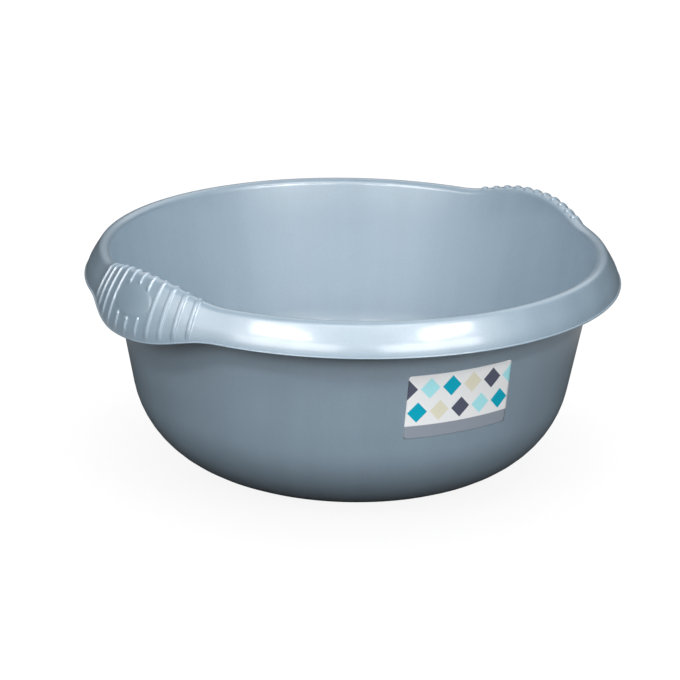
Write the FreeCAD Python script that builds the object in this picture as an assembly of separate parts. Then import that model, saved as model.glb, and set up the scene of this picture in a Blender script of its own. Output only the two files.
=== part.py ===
import FreeCAD, Part
import math
import os
from collections import namedtuple

Vector = FreeCAD.Vector
UP = Vector(0, 0, 1)

# Round bowl with two ribbed hand grips on the X axis. Lengths in millimetres, angles in degrees.

# Bowl wall and base, one moulding
RIM_DIAMETER = 360.0             # across the plain lip, edge to edge
BOWL_HEIGHT = 149.0              # surface it stands on to the plain crest
WALL_THICKNESS = 2.0
WALL_DRAFT_ANGLE = 10.4          # lean of the straight wall
CORNER_RADIUS = 68.0             # large round from the wall into the base, outside
FOOT_WIDTH = 7.0                 # flat ring that carries the bowl
FOOT_RECESS = 1.2                # the base rises this much inside the ring
FOOT_STEP_WIDTH = 3.0            # slope from the ring up to the recess

# Plain rim, turned over outwards and open underneath
RIM_REACH = 13.2                 # top of the crest out to the lip edge
RIM_DROP = 19.5                  # top of the crest down to the lip edge
CREST_RADIUS = 4.8               # round from the inside wall over the top
BAND_RADIUS = 150.0              # slight crown of the sloping band
BEAD_HEIGHT = 2.3                # thickened bead along the lip
BEAD_STEP = 0.7                  # the bead stands out from the band

# Hand grips, where the rim swells up, out and down
GRIP_COUNT = 2
GRIP_HALF_ANGLE = 23.7           # the swell has died out here
GRIP_FULL_ANGLE = 2.9            # the swell is full up to here
GRIP_RISE = 9.1
GRIP_REACH = 7.5
GRIP_DROP = 10.1
GRIP_BAND_RADIUS = 81.0
GRIP_SECTIONS = 17
RING_MARGIN = 4.0                # the lofted rim starts this far below the lowest lip

# Ribs over each grip
RIB_COUNT = 11
RIB_PITCH = 9.1                  # along the crest
RIB_WIDTH = 2.8
RIB_HEIGHT = 1.2
RIB_SINK = 0.6                   # its round top springs from this far under the surface
RIB_SETBACK = 0.8                # the rib ends this far short of the inside wall
RIB_LIP_GAP = 0.5                # and this far above the bead
RIB_ROOT_SHARE = 0.5             # buried part of a rib, as a share of the wall

# Oval pad in the middle of each grip
PAD_LENGTH = 39.0
PAD_WIDTH = 22.0
PAD_RAISE = 0.5
PAD_PLACE_SHARE = 0.41           # its centre, along the band from the crest to the bead
PAD_ROOT_SHARE = 0.5
PAD_SECTIONS = 7

# Printed label on the outer wall, and the adhesive under it
LABEL_WIDTH = 73.5               # round the wall
LABEL_HEIGHT = 45.0              # down the wall
LABEL_CORNER = 2.0
LABEL_TOP_DROP = 39.0            # below the plain crest
LABEL_ANGLE = -103.0             # round from the X axis
LABEL_TILT_ANGLE = 1.5           # it was stuck on a little out of level
LABEL_THICKNESS = 0.12
ADHESIVE_THICKNESS = 0.06
ADHESIVE_CLEARANCE = 0.1         # keeps the two curved faces from overlapping

CUT_OVERRUN = 20.0               # how far cutting shapes run past what they cut
JOIN_TOLERANCE = 0.001           # lofted and turned faces meet within this

DRAFT = math.radians(WALL_DRAFT_ANGLE)
RIM_RADIUS = RIM_DIAMETER / 2
CREST_CIRCLE_RADIUS = RIM_RADIUS - RIM_REACH
RING_BOTTOM = BOWL_HEIGHT - RIM_DROP - GRIP_DROP - RING_MARGIN

Rim = namedtuple("Rim", "crest band band_radius turn_angle end_angle lip_radius lip_z")


def on_arc(centre, radius, angle):
    """Point of a circle in the X-Z plane, the angle in radians from +X towards +Z."""
    return centre + Vector(radius * math.cos(angle), 0, radius * math.sin(angle))


def arc(centre, radius, start, end):
    middle = (start + end) / 2
    points = [on_arc(centre, radius, angle) for angle in (start, middle, end)]
    return Part.Arc(*points).toShape()


def line(start, end):
    return Part.LineSegment(start, end).toShape()


def outline(points):
    return [line(a, b) for a, b in zip(points, points[1:])]


def turned(shape, angle):
    copy = shape.copy()
    copy.rotate(Vector(0, 0, 0), UP, angle)
    return copy


def revolved(edges, angle):
    return Part.Face(Part.Wire(edges)).revolve(Vector(0, 0, 0), UP, angle)


def merged(shapes):
    return shapes[0].fuse(shapes[1:], JOIN_TOLERANCE).removeSplitter()


def inside_wall_radius(z):
    """Radius of the inside of the wall, which the crest's round runs into."""
    lean = (z - BOWL_HEIGHT + CREST_RADIUS) * math.tan(DRAFT)
    return CREST_CIRCLE_RADIUS - CREST_RADIUS / math.cos(DRAFT) + lean


def outside_wall_radius(z):
    return inside_wall_radius(z) + WALL_THICKNESS / math.cos(DRAFT)


def wall_point(z, offset):
    """Point beside the outside of the wall, at this distance square to it."""
    foot = Vector(outside_wall_radius(z), 0, z)
    return foot + Vector(math.cos(DRAFT), 0, -math.sin(DRAFT)) * offset


def swell(angle):
    """Share of the grip's swell at this angle from the middle of the grip."""
    past = abs(angle) - GRIP_FULL_ANGLE
    if past <= 0:
        return 1.0
    blend = min(past / (GRIP_HALF_ANGLE - GRIP_FULL_ANGLE), 1.0)
    return (1 + math.cos(math.pi * blend)) / 2


def rim_shape(share):
    """Centres, radii and angles of the rim's section, from plain (0) to full grip (1)."""
    rise = GRIP_RISE * share
    band_radius = BAND_RADIUS + (GRIP_BAND_RADIUS - BAND_RADIUS) * share
    crest = Vector(CREST_CIRCLE_RADIUS + rise * math.tan(DRAFT), 0, BOWL_HEIGHT + rise - CREST_RADIUS)
    lip_radius = RIM_RADIUS + GRIP_REACH * share
    lip_z = BOWL_HEIGHT - RIM_DROP - GRIP_DROP * share
    end = Vector(lip_radius - BEAD_STEP, 0, lip_z + BEAD_HEIGHT)
    # The band's circle touches the crest's circle from outside and goes through the end.
    reach = band_radius - CREST_RADIUS
    span = end - crest
    along = (reach ** 2 - band_radius ** 2 + span.Length ** 2) / (2 * span.Length)
    aside = math.sqrt(reach ** 2 - along ** 2)
    direction = Vector(span).normalize()
    inward = Vector(direction.z, 0, -direction.x)
    band = crest + direction * along + inward * aside
    turn_angle = math.atan2(crest.z - band.z, crest.x - band.x)
    end_angle = math.atan2(end.z - band.z, end.x - band.x)
    return Rim(crest, band, band_radius, turn_angle, end_angle, lip_radius, lip_z)


def rim_edges(share):
    """Closed section of the upper wall and the rim in the X-Z plane."""
    rim = rim_shape(share)
    top_angle = math.pi / 2
    wall_angle = math.pi - DRAFT
    crest_under = CREST_RADIUS - WALL_THICKNESS
    band_under = rim.band_radius - WALL_THICKNESS
    lip_angle = math.asin((rim.lip_z - rim.band.z) / band_under)
    half_bead = BEAD_HEIGHT / 2
    band_end = on_arc(rim.band, rim.band_radius, rim.end_angle)
    bead_edge = Vector(rim.lip_radius, 0, rim.lip_z + half_bead)
    bead_foot = Vector(rim.lip_radius - half_bead, 0, rim.lip_z)
    inside_foot = Vector(inside_wall_radius(RING_BOTTOM), 0, RING_BOTTOM)
    outside_foot = Vector(outside_wall_radius(RING_BOTTOM), 0, RING_BOTTOM)
    return [
        line(inside_foot, on_arc(rim.crest, CREST_RADIUS, wall_angle)),
        arc(rim.crest, CREST_RADIUS, wall_angle, top_angle),
        arc(rim.crest, CREST_RADIUS, top_angle, rim.turn_angle),
        arc(rim.band, rim.band_radius, rim.turn_angle, rim.end_angle),
        Part.Arc(band_end, bead_edge, bead_foot).toShape(),
        line(bead_foot, on_arc(rim.band, band_under, lip_angle)),
        arc(rim.band, band_under, lip_angle, rim.turn_angle),
        arc(rim.crest, crest_under, rim.turn_angle, top_angle),
        arc(rim.crest, crest_under, top_angle, wall_angle),
        line(on_arc(rim.crest, crest_under, wall_angle), outside_foot),
        line(outside_foot, inside_foot),
    ]


def corner_centre():
    """Centre of the corner round, which touches the wall and the surface under the bowl."""
    radius = outside_wall_radius(CORNER_RADIUS) - CORNER_RADIUS / math.cos(DRAFT)
    return Vector(radius, 0, CORNER_RADIUS)


def make_basin():
    """Base, corner round and lower wall, as one revolved section."""
    corner = corner_centre()
    ring_edge = corner.x - FOOT_WIDTH
    recess_edge = ring_edge - FOOT_STEP_WIDTH
    floor_radius = CORNER_RADIUS - WALL_THICKNESS
    under = [
        Vector(0, 0, FOOT_RECESS),
        Vector(recess_edge, 0, FOOT_RECESS),
        Vector(ring_edge, 0, 0),
        Vector(corner.x, 0, 0),
    ]
    floor = [point + UP * WALL_THICKNESS for point in reversed(under)]
    outside_top = Vector(outside_wall_radius(RING_BOTTOM), 0, RING_BOTTOM)
    inside_top = Vector(inside_wall_radius(RING_BOTTOM), 0, RING_BOTTOM)
    down = -math.pi / 2
    edges = outline(under)
    edges.append(arc(corner, CORNER_RADIUS, down, -DRAFT))
    edges.append(line(on_arc(corner, CORNER_RADIUS, -DRAFT), outside_top))
    edges.append(line(outside_top, inside_top))
    edges.append(line(inside_top, on_arc(corner, floor_radius, -DRAFT)))
    edges.append(arc(corner, floor_radius, -DRAFT, down))
    edges += outline(floor + [under[0]])
    return revolved(edges, 360)


def make_plain_rim():
    """Stretch of plain rim between two grips, starting where the first grip ends."""
    pitch = 360 / GRIP_COUNT
    stretch = revolved(rim_edges(0), pitch - 2 * GRIP_HALF_ANGLE)
    return turned(stretch, GRIP_HALF_ANGLE)


def make_grip_skin():
    """Rim that swells into a grip, lofted through sections in radial planes."""
    step = 2 * GRIP_HALF_ANGLE / (GRIP_SECTIONS - 1)
    angles = [index * step - GRIP_HALF_ANGLE for index in range(GRIP_SECTIONS)]
    sections = [turned(Part.Wire(rim_edges(swell(angle))), angle) for angle in angles]
    return Part.makeLoft(sections, True, False)


def rib_section(centre, radius, angle):
    """Whole and half section of a rib, square to the arc that it follows: a round top on a straight root."""
    out = on_arc(Vector(0, 0, 0), 1, angle)
    side = Vector(0, RIB_WIDTH / 2, 0)
    top = centre + out * (radius + RIB_HEIGHT)
    spring = centre + out * (radius - RIB_SINK)
    root = centre + out * (radius - WALL_THICKNESS * RIB_ROOT_SHARE)
    rise = (top - spring).Length
    round_radius = (side.Length ** 2 + rise ** 2) / (2 * rise)
    round_centre = top - out * round_radius
    haunch = round_centre + (spring + side + top - round_centre * 2).normalize() * round_radius
    over = Part.Arc(spring - side, top, spring + side).toShape()
    half_over = Part.Arc(top, haunch, spring + side).toShape()
    whole = [over] + outline([spring + side, root + side, root - side, spring - side])
    half = [half_over] + outline([spring + side, root + side, root, top])
    return Part.Face(Part.Wire(whole)), Part.Face(Part.Wire(half)), root, out


def make_rib(angle):
    """Rib in the radial plane at this angle, from inside the crest over the top and down to the lip."""
    rim = rim_shape(swell(angle))
    end = rim.end_angle + (RIB_LIP_GAP + RIB_WIDTH / 2) / rim.band_radius
    runs = [
        (rim.crest, CREST_RADIUS, math.pi - DRAFT, rim.turn_angle),
        (rim.band, rim.band_radius, rim.turn_angle, end),
    ]
    pieces = []
    for centre, radius, start, stop in runs:
        whole = rib_section(centre, radius, start)[0]
        pieces.append(whole.revolve(centre, Vector(0, 1, 0), math.degrees(start - stop)))
    half, root, out = rib_section(rim.band, rim.band_radius, end)[1:]
    pieces.append(half.revolve(root, out, -180))
    return turned(merged(pieces), angle)


def make_core():
    """Space inside the wall, grown a little, which the ribs stop short of."""
    low = RING_BOTTOM
    high = BOWL_HEIGHT + GRIP_RISE + CUT_OVERRUN
    corners = [
        Vector(0, 0, low),
        Vector(inside_wall_radius(low) + RIB_SETBACK, 0, low),
        Vector(inside_wall_radius(high) + RIB_SETBACK, 0, high),
        Vector(0, 0, high),
        Vector(0, 0, low),
    ]
    return revolved(outline(corners), 360)


def make_pad_prism():
    """Oval column through the middle of the grip, square to the band."""
    rim = rim_shape(1)
    angle = rim.turn_angle + (rim.end_angle - rim.turn_angle) * PAD_PLACE_SHARE
    out = on_arc(Vector(0, 0, 0), 1, angle)
    oval = Part.Ellipse(Vector(0, 0, 0), PAD_LENGTH / 2, PAD_WIDTH / 2).toShape()
    oval.rotate(Vector(0, 0, 0), UP, 90)
    oval.rotate(Vector(0, 0, 0), Vector(0, 1, 0), 90 - math.degrees(angle))
    oval.translate(on_arc(rim.band, rim.band_radius - CUT_OVERRUN, angle))
    return Part.Face(Part.Wire(oval)).extrude(out * (2 * CUT_OVERRUN))


def make_pad(prism):
    """Bare pad that follows the grip's own curve, a little proud of it."""
    half_angle = math.degrees(PAD_LENGTH / RIM_RADIUS)
    step = 2 * half_angle / (PAD_SECTIONS - 1)
    sections = []
    for index in range(PAD_SECTIONS):
        angle = index * step - half_angle
        rim = rim_shape(swell(angle))
        proud = rim.band_radius + PAD_RAISE
        sunk = rim.band_radius - WALL_THICKNESS * PAD_ROOT_SHARE
        edges = [
            arc(rim.band, proud, rim.turn_angle, rim.end_angle),
            line(on_arc(rim.band, proud, rim.end_angle), on_arc(rim.band, sunk, rim.end_angle)),
            arc(rim.band, sunk, rim.end_angle, rim.turn_angle),
            line(on_arc(rim.band, sunk, rim.turn_angle), on_arc(rim.band, proud, rim.turn_angle)),
        ]
        sections.append(turned(Part.Wire(edges), angle))
    return Part.makeLoft(sections, True, False).common(prism)


def make_grip():
    """One grip on the +X side: the swollen rim with its ribs and its oval pad."""
    pitch_angle = math.degrees(RIB_PITCH / CREST_CIRCLE_RADIUS)
    middle = (RIB_COUNT - 1) / 2
    prism = make_pad_prism()
    core = make_core()
    ribs = [make_rib((index - middle) * pitch_angle).cut([core, prism]) for index in range(RIB_COUNT)]
    return make_grip_skin().fuse(ribs + [make_pad(prism)])


def make_bowl():
    pitch = 360 / GRIP_COUNT
    grip = make_grip()
    plain = make_plain_rim()
    pieces = [make_basin()]
    for index in range(GRIP_COUNT):
        pieces.append(turned(grip, index * pitch))
        pieces.append(turned(plain, index * pitch))
    return merged(pieces)


def make_label_layer(near, far):
    """Layer of the label between two distances from the outside of the wall."""
    corner = corner_centre()
    top = BOWL_HEIGHT - RIM_DROP
    down = -math.pi / 2
    edges = [
        line(wall_point(top, near), on_arc(corner, CORNER_RADIUS + near, -DRAFT)),
        arc(corner, CORNER_RADIUS + near, -DRAFT, down),
        line(on_arc(corner, CORNER_RADIUS + near, down), on_arc(corner, CORNER_RADIUS + far, down)),
        arc(corner, CORNER_RADIUS + far, down, -DRAFT),
        line(on_arc(corner, CORNER_RADIUS + far, -DRAFT), wall_point(top, far)),
        line(wall_point(top, far), wall_point(top, near)),
    ]
    height = LABEL_HEIGHT * math.cos(DRAFT)
    low = BOWL_HEIGHT - LABEL_TOP_DROP - height
    radius = outside_wall_radius(low + height / 2)
    half_angle = LABEL_WIDTH / 2 / radius
    half_chord = radius * math.sin(half_angle)
    start = Vector(radius - CUT_OVERRUN, -half_chord, low)
    block = Part.makeBox(2 * CUT_OVERRUN, 2 * half_chord, height, start)
    corners = [edge for edge in block.Edges if edge.BoundBox.XLength > CUT_OVERRUN]
    block = block.makeFillet(LABEL_CORNER, corners)
    block.rotate(Vector(radius, 0, low + height / 2), Vector(1, 0, 0), LABEL_TILT_ANGLE)
    sweep = 4 * math.degrees(half_angle)
    layer = turned(revolved(edges, sweep), -sweep / 2).common(block)
    return turned(layer, LABEL_ANGLE)


os.makedirs("parts", exist_ok=True)
make_bowl().exportStep("parts/bowl.step")
ADHESIVE_FACE = ADHESIVE_CLEARANCE + ADHESIVE_THICKNESS
make_label_layer(ADHESIVE_CLEARANCE, ADHESIVE_FACE).exportStep("parts/label_adhesive.step")
make_label_layer(ADHESIVE_FACE, ADHESIVE_FACE + LABEL_THICKNESS).exportStep("parts/label_face.step")
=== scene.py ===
import math

import bpy
from mathutils import Matrix, Vector


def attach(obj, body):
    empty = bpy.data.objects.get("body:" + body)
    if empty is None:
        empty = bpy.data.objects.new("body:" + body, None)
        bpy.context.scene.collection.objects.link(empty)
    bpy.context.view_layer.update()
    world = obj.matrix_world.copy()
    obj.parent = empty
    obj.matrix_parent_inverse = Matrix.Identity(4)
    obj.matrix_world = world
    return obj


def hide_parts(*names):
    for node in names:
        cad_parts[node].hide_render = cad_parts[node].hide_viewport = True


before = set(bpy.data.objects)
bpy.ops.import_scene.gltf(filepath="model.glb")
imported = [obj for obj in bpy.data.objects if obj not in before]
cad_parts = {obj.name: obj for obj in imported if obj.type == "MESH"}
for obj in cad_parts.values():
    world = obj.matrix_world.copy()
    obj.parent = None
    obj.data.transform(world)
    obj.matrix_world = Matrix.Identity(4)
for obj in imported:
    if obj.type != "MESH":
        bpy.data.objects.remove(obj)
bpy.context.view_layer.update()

# Bowl
# One injection moulding in silver-grey polypropylene with fine flake: base, drafted wall, and a rim turned
# over outwards that swells into two opposite hand grips. Ribs and a bare oval pad are moulded on each grip.
MM = 0.001                              # sizes are written in millimetres, and the scene is in metres
RIM_RADIUS = 180.0
BOWL_HEIGHT = 149.0
WALL = 2.0
DRAFT = math.radians(10.4)
CORNER_RADIUS = 68.0
FOOT_WIDTH = 7.0
FOOT_RECESS = 1.2
FOOT_STEP_WIDTH = 3.0
RIM_REACH = 13.2
RIM_DROP = 20.2
CREST_RADIUS = 4.8
BAND_RADIUS = 150.0
LIP_ROUND = 30.0
LIP_END = math.radians(12.0)            # how far the band still faces up at the lip
LIP_GRIP_END = math.radians(1.0)
BEAD_RADIUS = 0.65
BEAD_START = math.radians(110.0)        # the bead along the lip stands proud of the plain band
BEAD_GRIP_START = math.radians(50.0)    # and sinks into the grip
GRIP_RISE = 9.1
GRIP_REACH = 7.5
GRIP_DROP = 9.4
GRIP_BAND_RADIUS = 81.0
WALL_SIDE = math.pi - DRAFT             # where the crest's round meets the inside of the wall
DOWN = -math.pi / 2
BASE_STEPS = 3
FOOT_STEPS = 2
CORNER_STEPS = 14
WALL_STEPS = 4
CREST_STEPS = 14
BAND_STEPS = 34                         # shared out between the band and the lip's round
BEAD_STEPS = 9
UNDER_STEPS = 3
UNDER_CREST_STEPS = 5
OFF_THE_BAND = -1000.0                  # run of the points that no rib or pad reaches


def wall_radius(height, depth):
    """Radius of the wall at this height, this deep under its inside face."""
    crest_centre = RIM_RADIUS - RIM_REACH
    lean = (height - BOWL_HEIGHT + CREST_RADIUS) * math.tan(DRAFT)
    return crest_centre + lean - (CREST_RADIUS - depth) / math.cos(DRAFT)


def between(plain, grip, share):
    """Value this share of the way from the plain rim's to the grip's."""
    return plain + (grip - plain) * share


def straight(start, end, steps):
    """Points along a line, both ends included."""
    return [(start[0] + (end[0] - start[0]) * i / steps, start[1] + (end[1] - start[1]) * i / steps)
            for i in range(steps + 1)]


def round_run(centre, radius, start, end, steps):
    """Points along a circle between two angles, both ends included."""
    angles = [start + (end - start) * i / steps for i in range(steps + 1)]
    return [(centre[0] + radius * math.cos(a), centre[1] + radius * math.sin(a)) for a in angles]


def band_round(crest, lip_round, band_radius):
    """Centre and end angles of the band's circle. The crest's and the lip's circles touch it from inside."""
    crest_reach = band_radius - CREST_RADIUS
    lip_reach = band_radius - LIP_ROUND
    span = math.dist(crest, lip_round)
    along = (crest_reach ** 2 - lip_reach ** 2 + span ** 2) / (2 * span)
    aside = math.sqrt(crest_reach ** 2 - along ** 2)
    way = ((lip_round[0] - crest[0]) / span, (lip_round[1] - crest[1]) / span)
    band = (crest[0] + way[0] * along + way[1] * aside, crest[1] + way[1] * along - way[0] * aside)
    start = math.atan2(crest[1] - band[1], crest[0] - band[0])
    end = math.atan2(lip_round[1] - band[1], lip_round[0] - band[0])
    return band, start, end


def rim_section(share):
    """Points of the rim's face, from the wall over the crest to the lip, and of its bead and back."""
    rise = GRIP_RISE * share
    crest = (RIM_RADIUS - RIM_REACH + rise * math.tan(DRAFT), BOWL_HEIGHT + rise - CREST_RADIUS)
    lip = (RIM_RADIUS + GRIP_REACH * share, BOWL_HEIGHT - RIM_DROP - GRIP_DROP * share)
    bead = (lip[0] - BEAD_RADIUS, lip[1] + BEAD_RADIUS)
    bead_start = between(BEAD_START, BEAD_GRIP_START, share)
    bead_run = round_run(bead, BEAD_RADIUS, bead_start, DOWN, BEAD_STEPS)
    lip_end = between(LIP_END, LIP_GRIP_END, share)
    lip_round = (bead_run[0][0] - LIP_ROUND * math.cos(lip_end),
                 bead_run[0][1] - LIP_ROUND * math.sin(lip_end))
    band_radius = between(BAND_RADIUS, GRIP_BAND_RADIUS, share)
    band, start, end = band_round(crest, lip_round, band_radius)
    lip_length = LIP_ROUND * (end - lip_end)
    lip_steps = round(BAND_STEPS * lip_length / (lip_length + band_radius * (start - end)))
    face = round_run(crest, CREST_RADIUS, WALL_SIDE, start, CREST_STEPS)
    face += round_run(band, band_radius, start, end, BAND_STEPS - lip_steps)[1:]
    face += round_run(lip_round, LIP_ROUND, end, lip_end, lip_steps)[1:]
    back_start = math.asin((lip[1] - lip_round[1]) / (LIP_ROUND - WALL))
    back = round_run(lip_round, LIP_ROUND - WALL, back_start, end, UNDER_STEPS)
    back += round_run(band, band_radius - WALL, end, start, UNDER_STEPS)[1:]
    back += round_run(crest, CREST_RADIUS - WALL, start, WALL_SIDE, UNDER_CREST_STEPS)[1:]
    return face, bead_run[1:] + back


def bowl_section(share):
    """Section of the moulding, with the plain rim (0) or the full grip (1): its points and the whole run.

    Each point is a radius, a height and a run. The run is the way over the rim's face from the crest's top.
    """
    corner = (wall_radius(CORNER_RADIUS, WALL) - CORNER_RADIUS / math.cos(DRAFT), CORNER_RADIUS)
    ring_edge = corner[0] - FOOT_WIDTH
    recess_edge = ring_edge - FOOT_STEP_WIDTH
    face, back = rim_section(share)
    inside_corner = round_run(corner, CORNER_RADIUS - WALL, DOWN, -DRAFT, CORNER_STEPS)
    inside = straight((0, WALL + FOOT_RECESS), (recess_edge, WALL + FOOT_RECESS), BASE_STEPS)
    inside += straight((recess_edge, WALL + FOOT_RECESS), (ring_edge, WALL), FOOT_STEPS)[1:]
    inside += straight((ring_edge, WALL), (corner[0], WALL), FOOT_STEPS)[1:]
    inside += inside_corner[1:] + straight(inside_corner[-1], face[0], WALL_STEPS)[1:-1]
    outside_corner = round_run(corner, CORNER_RADIUS, -DRAFT, DOWN, CORNER_STEPS)
    outside = straight(back[-1], outside_corner[0], WALL_STEPS)[1:] + outside_corner[1:]
    outside += straight((corner[0], 0), (ring_edge, 0), FOOT_STEPS)[1:]
    outside += straight((ring_edge, 0), (recess_edge, FOOT_RECESS), FOOT_STEPS)[1:]
    outside += straight((recess_edge, FOOT_RECESS), (0, FOOT_RECESS), BASE_STEPS)[1:]
    points = [(*point, OFF_THE_BAND) for point in inside]
    run = -CREST_RADIUS * (WALL_SIDE - math.pi / 2)
    last = face[0]
    for point in face:
        run += math.dist(last, point)
        points.append((*point, run))
        last = point
    points += [(*point, OFF_THE_BAND) for point in back + outside]
    return points, run


plain_section, plain_run = bowl_section(0)
grip_section, grip_run = bowl_section(1)
section_mesh = bpy.data.meshes.new("bowl_section")
section_mesh.from_pydata([(p[0] * MM, p[1] * MM, 0) for p in plain_section],
                         [(i, i + 1) for i in range(len(plain_section) - 1)], [])
for name, section in (("plain", plain_section), ("grip", grip_section)):
    attribute = section_mesh.attributes.new(name, "FLOAT_VECTOR", "POINT")
    attribute.data.foreach_set("vector", [value * MM for point in section for value in point])


def plug(tree, socket, value):
    """Sets a socket, or links it where the value is another node's output."""
    if isinstance(value, bpy.types.NodeSocket):
        tree.links.new(value, socket)
    elif value is not None:
        socket.default_value = value


def node(tree, kind, *inputs, named=None, **settings):
    """Adds a node, sets or links its inputs in order or by name, and gives its outputs."""
    made = tree.nodes.new(kind)
    for name, value in settings.items():
        setattr(made, name, value)
    for socket, value in zip([socket for socket in made.inputs if socket.enabled], inputs):
        plug(tree, socket, value)
    for name, value in (named or {}).items():
        plug(tree, made.inputs[name], value)
    return [socket for socket in made.outputs if socket.enabled]


def calc(tree, operation, *terms):
    return node(tree, "ShaderNodeMath", *terms, operation=operation)[0]


def ramp(tree, value, start, end, low=0.0, high=1.0, kind="SMOOTHSTEP"):
    """Goes from low at start to high at end."""
    return node(tree, "ShaderNodeMapRange", value, start, end, low, high,
                interpolation_type=kind, clamp=True)[0]


bowl_plastic = bpy.data.materials.new("silver_plastic")
turning = bpy.data.node_groups.new("bowl_turning", "GeometryNodeTree")
turning.interface.new_socket("Geometry", in_out="OUTPUT", socket_type="NodeSocketGeometry")
turning.interface.new_socket("Section", in_out="INPUT", socket_type="NodeSocketGeometry")
bowl_sizes = (
    ("Grip count", "Int", 2),
    ("Grip half angle", "Float", math.radians(22.0)),
    ("Grip fullness", "Float", 1.25),
    ("Plain run", "Float", plain_run * MM),
    ("Grip run", "Float", grip_run * MM),
    ("Rib count", "Int", 11),
    ("Rib pitch", "Float", 9.3 / (RIM_RADIUS - RIM_REACH)),
    ("Rib half width", "Float", 1.85 * MM),
    ("Rib flank", "Float", 1.0 * MM),
    ("Rib height", "Float", 1.05 * MM),
    ("Rib start", "Float", -2.6 * MM),
    ("Rib end round", "Float", 1.1 * MM),
    ("Rib run-out", "Float", 7.0 * MM),
    ("Pad run", "Float", 19.8 * MM),
    ("Pad half length", "Float", 18.4 * MM),
    ("Pad half width", "Float", 11.0 * MM),
    ("Pad raise", "Float", 0.3 * MM),
    ("Columns per rib", "Int", 29),
    ("Columns of plain rim", "Int", 64),
    ("Plastic", "Material", bowl_plastic),
)
bowl_inputs = {}
for name, kind, value in bowl_sizes:
    socket = turning.interface.new_socket(name, in_out="INPUT", socket_type="NodeSocket" + kind)
    bowl_inputs[socket.identifier] = value
size = turning.nodes.new("NodeGroupInput").outputs

# One grip and the plain rim after it make a sector, which repeats round the bowl.
pitches = calc(turning, "ADD", size["Rib count"], 1.0)
grip_turn = calc(turning, "MULTIPLY", size["Rib pitch"], pitches)
half_turn = calc(turning, "MULTIPLY", grip_turn, 0.5)
sector_turn = calc(turning, "DIVIDE", math.tau, size["Grip count"])
plain_turn = calc(turning, "SUBTRACT", sector_turn, grip_turn)
grip_columns = calc(turning, "MULTIPLY_ADD", size["Columns per rib"], pitches, 1.0)
grip_start = calc(turning, "MULTIPLY", half_turn, -1.0)
grip_arc = node(turning, "GeometryNodeCurveArc", grip_columns, 1.0, grip_start, grip_turn)[0]
plain_arc = node(turning, "GeometryNodeCurveArc", size["Columns of plain rim"], 1.0, half_turn, plain_turn)[0]
arcs = node(turning, "GeometryNodeJoinGeometry", plain_arc)[0]
turning.links.new(grip_arc, arcs.node.inputs[0])
arc_x, arc_y, _ = node(turning, "ShaderNodeSeparateXYZ", node(turning, "GeometryNodeInputPosition")[0])
marked = node(turning, "GeometryNodeStoreNamedAttribute", arcs, None, "turn",
              calc(turning, "ARCTAN2", arc_y, arc_x), data_type="FLOAT")[0]
section_curve = node(turning, "GeometryNodeMeshToCurve", size["Section"])[0]
swept = node(turning, "GeometryNodeCurveToMesh", marked, section_curve)[0]

# The swell dies out from the middle of the grip along a cosine, held full for longer before it falls.
turn = node(turning, "GeometryNodeInputNamedAttribute", "turn", data_type="FLOAT")[0]
grips_passed = calc(turning, "ROUND", calc(turning, "DIVIDE", turn, sector_turn))
off_grip = calc(turning, "SUBTRACT", turn, calc(turning, "MULTIPLY", grips_passed, sector_turn))
off_share = ramp(turning, calc(turning, "ABSOLUTE", off_grip), 0.0, size["Grip half angle"], kind="LINEAR")
off_share = calc(turning, "POWER", off_share, size["Grip fullness"])
swell = calc(turning, "COSINE", calc(turning, "MULTIPLY", off_share, math.pi))
swell = calc(turning, "MULTIPLY_ADD", swell, 0.5, 0.5)
plain_point = node(turning, "GeometryNodeInputNamedAttribute", "plain", data_type="FLOAT_VECTOR")[0]
grip_point = node(turning, "GeometryNodeInputNamedAttribute", "grip", data_type="FLOAT_VECTOR")[0]
point = node(turning, "ShaderNodeMix", swell, plain_point, grip_point, data_type="VECTOR")[0]
radius, height, run = node(turning, "ShaderNodeSeparateXYZ", point)
whole_run = node(turning, "ShaderNodeMix", swell, size["Plain run"], size["Grip run"], data_type="FLOAT")[0]
place_x = calc(turning, "MULTIPLY", radius, calc(turning, "COSINE", turn))
place_y = calc(turning, "MULTIPLY", radius, calc(turning, "SINE", turn))
place = node(turning, "ShaderNodeCombineXYZ", place_x, place_y, height)[0]
shaped = node(turning, "GeometryNodeSetPosition", swept, None, place)[0]

# Ribs run from the crest down the band, thin out towards the lip and stop at the oval pad.
RIB_STOP = (0.97, 1.08)     # where the ribs rise again round the pad, in shares of the pad's half sizes
PAD_EDGE = (0.88, 1.02)     # where the pad's face falls to the band
nearest = calc(turning, "ROUND", calc(turning, "DIVIDE", off_grip, size["Rib pitch"]))
off_rib = calc(turning, "SUBTRACT", off_grip, calc(turning, "MULTIPLY", nearest, size["Rib pitch"]))
off_rib = calc(turning, "MULTIPLY", calc(turning, "ABSOLUTE", off_rib), radius)
rib_shoulder = calc(turning, "SUBTRACT", size["Rib half width"], size["Rib flank"])
ridge = ramp(turning, off_rib, rib_shoulder, size["Rib half width"], 1.0, 0.0)
counted = calc(turning, "LESS_THAN", calc(turning, "ABSOLUTE", nearest),
               calc(turning, "MULTIPLY", pitches, 0.5))
rib_full = calc(turning, "ADD", size["Rib start"], size["Rib end round"])
begun = ramp(turning, run, size["Rib start"], rib_full)
run_out = ramp(turning, calc(turning, "SUBTRACT", whole_run, run), 0.0, size["Rib run-out"])
pad_x = calc(turning, "DIVIDE", calc(turning, "MULTIPLY", off_grip, radius), size["Pad half length"])
pad_y = calc(turning, "DIVIDE", calc(turning, "SUBTRACT", run, size["Pad run"]), size["Pad half width"])
pad_out = calc(turning, "MULTIPLY_ADD", pad_x, pad_x, calc(turning, "MULTIPLY", pad_y, pad_y))
pad_out = calc(turning, "SQRT", pad_out)
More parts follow.
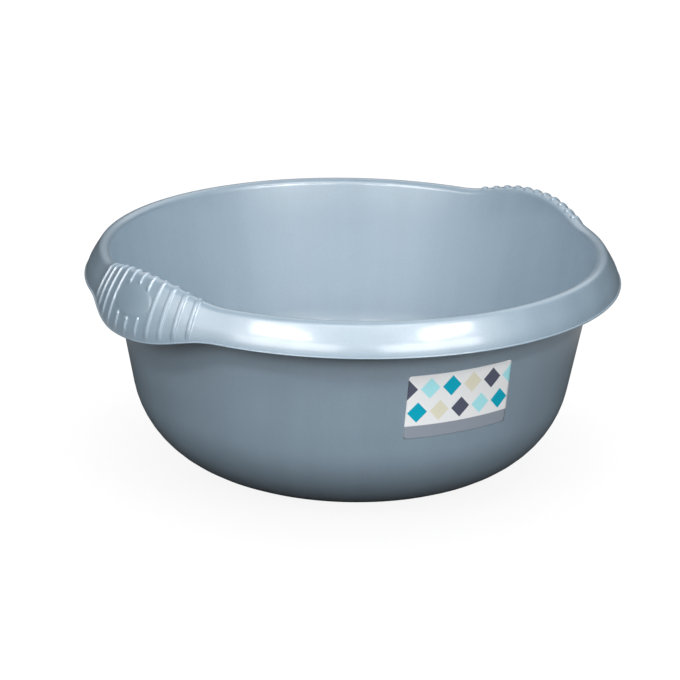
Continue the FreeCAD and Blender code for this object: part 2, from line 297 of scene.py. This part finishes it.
rib = calc(turning, "MULTIPLY", size["Rib height"], ridge)
for share in (counted, begun, run_out, ramp(turning, pad_out, *RIB_STOP)):
    rib = calc(turning, "MULTIPLY", rib, share)
pad = calc(turning, "MULTIPLY", ramp(turning, pad_out, *PAD_EDGE, 1.0, 0.0), size["Pad raise"])
lift = node(turning, "ShaderNodeVectorMath", node(turning, "GeometryNodeInputNormal")[0], operation="SCALE",
            named={"Scale": calc(turning, "ADD", rib, pad)})[0]
ribbed = node(turning, "GeometryNodeSetPosition", shaped, None, None, lift)[0]

# The sectors are set round the axis and welded into one skin.
WELD_REACH = 0.02
SHARP_ANGLE = math.radians(35)
axis = node(turning, "GeometryNodeMeshLine", size["Grip count"], None, (0, 0, 0))[0]
facing = calc(turning, "MULTIPLY", node(turning, "GeometryNodeInputIndex")[0], sector_turn)
facing = node(turning, "ShaderNodeCombineXYZ", 0.0, 0.0, facing)[0]
sectors = node(turning, "GeometryNodeInstanceOnPoints", axis, None, ribbed, None, None, facing)[0]
skin = node(turning, "GeometryNodeRealizeInstances", sectors)[0]
skin = node(turning, "GeometryNodeMergeByDistance", skin, None, WELD_REACH * MM)[0]
skin = node(turning, "GeometryNodeSetShadeSmooth", skin, None, True)[0]
skin = node(turning, "GeometryNodeSetMaterial", skin, None, size["Plastic"])[0]
turning.links.new(skin, turning.nodes.new("NodeGroupOutput").inputs[0])


def set_out(name, data):
    """Puts a mesh, camera or lamp into the scene as an object."""
    thing = bpy.data.objects.new(name, data)
    bpy.context.scene.collection.objects.link(thing)
    return thing


bowl = set_out("bowl_moulding", section_mesh)
modifier = bowl.modifiers.new("turning", "NODES")
modifier.node_group = turning
for identifier, value in bowl_inputs.items():
    modifier[identifier] = value
bowl_mesh = bpy.data.meshes.new_from_object(bowl.evaluated_get(bpy.context.evaluated_depsgraph_get()))
bowl.modifiers.remove(modifier)
bowl.data = bowl_mesh
for name in ("turn", "plain", "grip"):
    bowl_mesh.attributes.remove(bowl_mesh.attributes[name])
bowl_mesh.set_sharp_from_angle(angle=SHARP_ANGLE)
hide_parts("bowl")
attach(bowl, "root")

# The plastic has flake in the resin, faint flow marks up the wall from the gate in the base, and a light
# orange peel. A clear skin of resin over the flake gives it a second, sharper gloss.
PLASTIC_DARK = (0.218, 0.298, 0.371, 1)
PLASTIC_PALE = (0.249, 0.344, 0.425, 1)
PLASTIC_ROUGHNESS = (0.44, 0.52)
PLASTIC_IOR = 2.28
SKIN_WEIGHT = 0.8
SKIN_ROUGHNESS = 0.15
FLOW_ROUND = 9.0            # flow marks per radian round the bowl
FLOW_UP = 5.0               # and per metre up it
FLOW_SHARE = 0.6
FLAKE_SCALE = 1500.0
FLAKE_SHARE = 0.25
TONE_RANGE = (0.2, 0.65)
GLOSS_SCALE = 60.0
PEEL_SCALE = 350.0
PEEL_STRENGTH = 0.03
PEEL_DEPTH = 0.5
NOISE_RANGE = (0.3, 0.7)    # most of a noise lies in here


def start_material(material):
    """Node tree of a material, and the place on the piece in metres."""
    material.use_nodes = True
    tree = material.node_tree
    return tree, tree.nodes.new("ShaderNodeTexCoord").outputs["Object"]


def dress(tree, looks):
    """Sets or links the inputs of a material's shader."""
    for name, value in looks.items():
        plug(tree, tree.nodes["Principled BSDF"].inputs[name], value)


def noise(tree, spot, scale, detail, roughness=0.5):
    return node(tree, "ShaderNodeTexNoise", spot,
                named={"Scale": scale, "Detail": detail, "Roughness": roughness})[0]


def blend(tree, share, low, high):
    """Colour between two colours."""
    return node(tree, "ShaderNodeMix", share, low, high, data_type="RGBA")[0]


def bump(tree, strength, depth, height):
    return node(tree, "ShaderNodeBump",
                named={"Strength": strength, "Distance": depth * MM, "Height": height})[0]


tree, spot = start_material(bowl_plastic)
x, y, z = node(tree, "ShaderNodeSeparateXYZ", spot)
flow_round = calc(tree, "MULTIPLY", calc(tree, "ARCTAN2", y, x), FLOW_ROUND)
flow_spot = node(tree, "ShaderNodeCombineXYZ", flow_round, calc(tree, "MULTIPLY", z, FLOW_UP), 0.0)[0]
flow = noise(tree, flow_spot, scale=1.0, detail=4.0, roughness=0.6)
flake = node(tree, "ShaderNodeTexVoronoi", spot, named={"Scale": FLAKE_SCALE})[1]
flake = node(tree, "ShaderNodeSeparateXYZ", flake)[0]
tone = calc(tree, "MULTIPLY_ADD", flow, FLOW_SHARE, calc(tree, "MULTIPLY", flake, FLAKE_SHARE))
tone = ramp(tree, tone, *TONE_RANGE, kind="LINEAR")
gloss = noise(tree, spot, GLOSS_SCALE, detail=3.0)
peel = noise(tree, spot, PEEL_SCALE, detail=2.0)
dress(tree, {
    "Base Color": blend(tree, tone, PLASTIC_DARK, PLASTIC_PALE),
    "Roughness": ramp(tree, gloss, *NOISE_RANGE, *PLASTIC_ROUGHNESS),
    "Normal": bump(tree, PEEL_STRENGTH, PEEL_DEPTH, peel),
    "IOR": PLASTIC_IOR,
    "Coat Weight": SKIN_WEIGHT,
    "Coat Roughness": SKIN_ROUGHNESS,
})

# Label adhesive
# A thin clear coat of tacky acrylic, spread on the back of the label. It holds the label to the outside of
# the wall, and only its edge can be seen.
ADHESIVE_DARK = (0.72, 0.71, 0.64, 1)
ADHESIVE_PALE = (0.84, 0.83, 0.78, 1)
ADHESIVE_ROUGHNESS = (0.25, 0.4)
STREAK_SCALE = 220.0
adhesive = bpy.data.materials.new("label_adhesive")
tree, spot = start_material(adhesive)
streak = noise(tree, spot, STREAK_SCALE, detail=3.0)
dress(tree, {
    "Base Color": blend(tree, streak, ADHESIVE_DARK, ADHESIVE_PALE),
    "Roughness": ramp(tree, streak, *NOISE_RANGE, *ADHESIVE_ROUGHNESS),
})
adhesive_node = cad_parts["label_adhesive"]
for material_slot in adhesive_node.material_slots:
    material_slot.material = adhesive

# Label
# White coated paper, printed in four flat colours and stuck to the outside of the wall a little out of level.
# The print is plain: a staggered field of lozenges over a grey foot.
LABEL_WIDTH = 73.5
LABEL_HEIGHT = 45.0
LABEL_CORNER = 2.0
LABEL_TOP_DROP = 39.0
LABEL_TURN = math.radians(-103.0)
LABEL_TILT = math.radians(1.5)
LABEL_STAND_OFF = 0.28
LABEL_THICKNESS = 0.12
LABEL_COLUMNS = 48
LABEL_ROWS = 32
half_height = LABEL_HEIGHT * math.cos(DRAFT) / 2
middle = BOWL_HEIGHT - LABEL_TOP_DROP - half_height
middle_radius = wall_radius(middle, WALL)
half_chord = middle_radius * math.sin(LABEL_WIDTH / 2 / middle_radius)


def on_wall(across, up, stand_off):
    """Point beside the outside of the wall, from the label's own across and up."""
    side = across * math.cos(LABEL_TILT) - up * math.sin(LABEL_TILT)
    height = middle + across * math.sin(LABEL_TILT) + up * math.cos(LABEL_TILT)
    radius = wall_radius(height, WALL) + stand_off / math.cos(DRAFT)
    turn = math.asin(side / radius) + LABEL_TURN
    return Vector((radius * math.cos(turn), radius * math.sin(turn), height)) * MM


# The rows lie closer together towards the top and bottom edges, where they follow the round corners.
label_points, label_uvs = [], []
for row in range(LABEL_ROWS + 1):
    up = -half_height * math.cos(math.pi * row / LABEL_ROWS)
    into_corner = max(abs(up) - (half_height - LABEL_CORNER), 0.0)
    half = half_chord - LABEL_CORNER + math.sqrt(max(LABEL_CORNER ** 2 - into_corner ** 2, 0.0))
    for column in range(LABEL_COLUMNS + 1):
        across = half * (2 * column / LABEL_COLUMNS - 1)
        label_points.append(on_wall(across, up, LABEL_STAND_OFF))
        label_uvs.append(((across / half_chord + 1) / 2, (up / half_height + 1) / 2))
stride = LABEL_COLUMNS + 1
label_faces = []
for row in range(LABEL_ROWS):
    for first in range(row * stride, row * stride + LABEL_COLUMNS):
        label_faces.append((first, first + 1, first + stride + 1, first + stride))
label_mesh = bpy.data.meshes.new("label_print")
label_mesh.from_pydata(label_points, [], label_faces)
uv = label_mesh.uv_layers.new(name="print")
for loop in label_mesh.loops:
    uv.data[loop.index].uv = label_uvs[loop.vertex_index]
label_mesh.shade_smooth()
label = set_out("label_print", label_mesh)
paper_body = label.modifiers.new("paper", "SOLIDIFY")
paper_body.thickness = LABEL_THICKNESS * MM
paper_body.offset = -1

# The print is laid out in shares of the label's width and height.
LOZENGE_COLUMNS = 5.0
LOZENGE_ROWS = 2.0
LOZENGE_EDGE = (0.43, 0.45)
FIELD_MARGIN = 0.03
FOOT_SHARE = 0.2
FOOT_BLUR = 0.004
INKS = ((0.0, 0.40, 0.56, 1), (0.80, 0.78, 0.62, 1), (0.09, 0.10, 0.15, 1), (0.42, 0.85, 0.92, 1))
FOOT_INK = (0.29, 0.33, 0.39, 1)
PAPER_DARK = (0.86, 0.88, 0.90, 1)
PAPER_PALE = (0.91, 0.93, 0.94, 1)
PAPER_ROUGHNESS = (0.35, 0.48)
FIBRE_SCALE = 900.0
FIBRE_STRENGTH = 0.08
FIBRE_DEPTH = 0.1
paper = bpy.data.materials.new("label_paper")
label_mesh.materials.append(paper)
tree, spot = start_material(paper)
across, up, _ = node(tree, "ShaderNodeSeparateXYZ", node(tree, "ShaderNodeUVMap", uv_map="print")[0])
field_up = ramp(tree, up, FOOT_SHARE + FIELD_MARGIN, 1 - FIELD_MARGIN, 0.0, LOZENGE_ROWS, "LINEAR")
field_row = calc(tree, "FLOOR", field_up)
stagger = calc(tree, "MULTIPLY", calc(tree, "MODULO", field_row, 2.0), 0.5)
field_across = calc(tree, "MULTIPLY_ADD", across, LOZENGE_COLUMNS, stagger)
field_column = calc(tree, "FLOOR", field_across)
off_x, off_y = [calc(tree, "ABSOLUTE", calc(tree, "SUBTRACT", calc(tree, "FRACT", way), 0.5))
                for way in (field_across, field_up)]
lozenge = ramp(tree, calc(tree, "ADD", off_x, off_y), *LOZENGE_EDGE, 1.0, 0.0)
pick = calc(tree, "MODULO", calc(tree, "MULTIPLY_ADD", field_row, 2.0, field_column), len(INKS))
pick = calc(tree, "MULTIPLY_ADD", pick, 1 / len(INKS), 0.5 / len(INKS))
inks = node(tree, "ShaderNodeValToRGB", pick)[0]
ink_ramp = inks.node.color_ramp
ink_ramp.interpolation = "CONSTANT"
ink_ramp.elements.remove(ink_ramp.elements[-1])
ink_ramp.elements[0].color = INKS[0]
for i in range(1, len(INKS)):
    ink_ramp.elements.new(i / len(INKS)).color = INKS[i]
fibre = noise(tree, spot, FIBRE_SCALE, detail=4.0)
ground = blend(tree, fibre, PAPER_DARK, PAPER_PALE)
foot = ramp(tree, up, FOOT_SHARE - FOOT_BLUR, FOOT_SHARE + FOOT_BLUR, 1.0, 0.0)
dress(tree, {
    "Base Color": blend(tree, foot, blend(tree, lozenge, ground, inks), FOOT_INK),
    "Roughness": ramp(tree, fibre, *NOISE_RANGE, *PAPER_ROUGHNESS),
    "Normal": bump(tree, FIBRE_STRENGTH, FIBRE_DEPTH, fibre),
})
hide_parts("label_face")
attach(label, "root")

# Camera
# A long lens in front of the label, looking a little down into the bowl, with one grip near on the left and
# the other far on the right. It is fitted to the rim, the wall and both grips in the photograph.
CAMERA_TURN = math.radians(39.88)
CAMERA_RISE = 0.289648      # radians
CAMERA_DISTANCE = 1.7       # from the middle of the rim, in metres
CAMERA_ROLL = 0.020132      # radians
CAMERA_LENS = 133.96
AIM_SIDE = -0.0077
AIM_DROP = 0.0689747
rim_height = BOWL_HEIGHT * MM
flat_distance = CAMERA_DISTANCE * math.cos(CAMERA_RISE)
camera_place = Vector((-flat_distance * math.sin(CAMERA_TURN), -flat_distance * math.cos(CAMERA_TURN),
                       rim_height + CAMERA_DISTANCE * math.sin(CAMERA_RISE)))
aim = Vector((AIM_SIDE * math.cos(CAMERA_TURN), -AIM_SIDE * math.sin(CAMERA_TURN), rim_height - AIM_DROP))
look = (aim - camera_place).to_track_quat("-Z", "Y").to_matrix().to_4x4()
camera = set_out("camera", bpy.data.cameras.new("camera"))
camera.data.lens = CAMERA_LENS
camera.matrix_world = Matrix.Translation(camera_place) @ look @ Matrix.Rotation(CAMERA_ROLL, 4, "Z")
bpy.context.scene.camera = camera

# Floor
# A white studio floor. It glows white to the camera, a little dimmer under the bowl as a painted shadow. In
# reflections it glows over a sheet round the bowl, except close to it, as painted shade where the bowl keeps
# the light off.
FLOOR_HALF = 6.0
FLOOR_COLOUR = (0.03, 0.03, 0.03, 1)
FLOOR_ROUGHNESS = 0.9
WHITE = (1, 1, 1, 1)
SHEET_REACH = 0.3
# Painted shade in reflections: no glow is seen this close to the bowl.
SHADE_REACH = 0.25
# Painted shadow: over this reach from the bowl the glow seen by the camera dims to this strength.
PAINTED_SHADOW_RANGE = (0.1, 0.28)
PAINTED_SHADOW_GLOW = 0.9
floor_corners = [(side * FLOOR_HALF, depth * FLOOR_HALF, 0)
                 for side, depth in ((-1, -1), (1, -1), (1, 1), (-1, 1))]
floor_mesh = bpy.data.meshes.new("floor")
floor_mesh.from_pydata(floor_corners, [], [(0, 1, 2, 3)])
floor = set_out("floor", floor_mesh)
floor_white = bpy.data.materials.new("floor_white")
floor_mesh.materials.append(floor_white)
tree, spot = start_material(floor_white)
rays = tree.nodes.new("ShaderNodeLightPath").outputs
mirrored = calc(tree, "MAXIMUM", rays["Is Glossy Ray"], rays["Is Transmission Ray"])
from_bowl = node(tree, "ShaderNodeVectorMath", spot, operation="LENGTH")[0]
# Painted shade in reflections: the glow is cut close to the bowl.
mirrored = calc(tree, "MULTIPLY", mirrored, ramp(tree, from_bowl, SHADE_REACH, 2 * SHADE_REACH))
mirrored = calc(tree, "MULTIPLY", mirrored, ramp(tree, from_bowl, SHEET_REACH, 2 * SHEET_REACH, 1.0, 0.0))
seen = calc(tree, "MAXIMUM", rays["Is Camera Ray"], mirrored)
# Painted shadow: the glow is a little dimmer near the bowl.
glow_with_painted_shadow = ramp(tree, from_bowl, *PAINTED_SHADOW_RANGE, PAINTED_SHADOW_GLOW, 1.0)
dress(tree, {
    "Base Color": FLOOR_COLOUR,
    "Roughness": FLOOR_ROUGHNESS,
    "Emission Color": WHITE,
    "Emission Strength": calc(tree, "MULTIPLY", seen, glow_with_painted_shadow),
})

# Studio light
# A dim room that is white to the camera only, two large softboxes low on both sides of the camera and two
# bright narrow ones over them, which make the white patches on the rim. Weaker boxes fill in from the top,
# the left and the back.
ROOM_LIGHT = 0.026
bpy.context.scene.view_settings.view_transform = "Standard"
world = bpy.data.worlds.new("studio")
world.use_nodes = True
tree = world.node_tree
rays = tree.nodes.new("ShaderNodeLightPath").outputs
room = tree.nodes["Background"].inputs
room["Color"].default_value = WHITE
tree.links.new(ramp(tree, rays["Is Camera Ray"], 0.0, 1.0, ROOM_LIGHT, 1.0), room["Strength"])
bpy.context.scene.world = world


def softbox(name, turn, rise, distance, width, height, watts):
    """Area light that faces the middle of the rim.

    Its turn from the camera's side and its rise are in degrees, its distance and sizes in metres.
    """
    light = bpy.data.lights.new(name, "AREA")
    light.shape = "RECTANGLE"
    light.size = width
    light.size_y = height
    light.energy = watts
    angle = math.radians(turn) - math.pi / 2 - CAMERA_TURN
    rise = math.radians(rise)
    way = Vector((math.cos(rise) * math.cos(angle), math.cos(rise) * math.sin(angle), math.sin(rise)))
    place = Vector((0, 0, rim_height)) + way * distance
    box = set_out(name, light)
    box.matrix_world = Matrix.Translation(place) @ way.to_track_quat("Z", "Y").to_matrix().to_4x4()


softbox("key_left", -26, 22, 1.6, 1.15, 0.45, 10.4)
softbox("key_right", 33, 22, 1.6, 1.15, 0.45, 12.2)
softbox("patch_left", -32, 36.5, 1.5, 0.56, 0.14, 5.5)
softbox("patch_right", 43.5, 36.5, 1.5, 0.54, 0.14, 5.3)
softbox("fill_left", -62, 32, 1.6, 0.85, 0.45, 2.4)
softbox("top_middle", -4, 51, 1.6, 1.1, 0.42, 4.2)
softbox("top_right", 50, 60, 1.6, 0.85, 0.45, 5.4)
softbox("back", 180, 45, 1.8, 3, 1.4, 14)
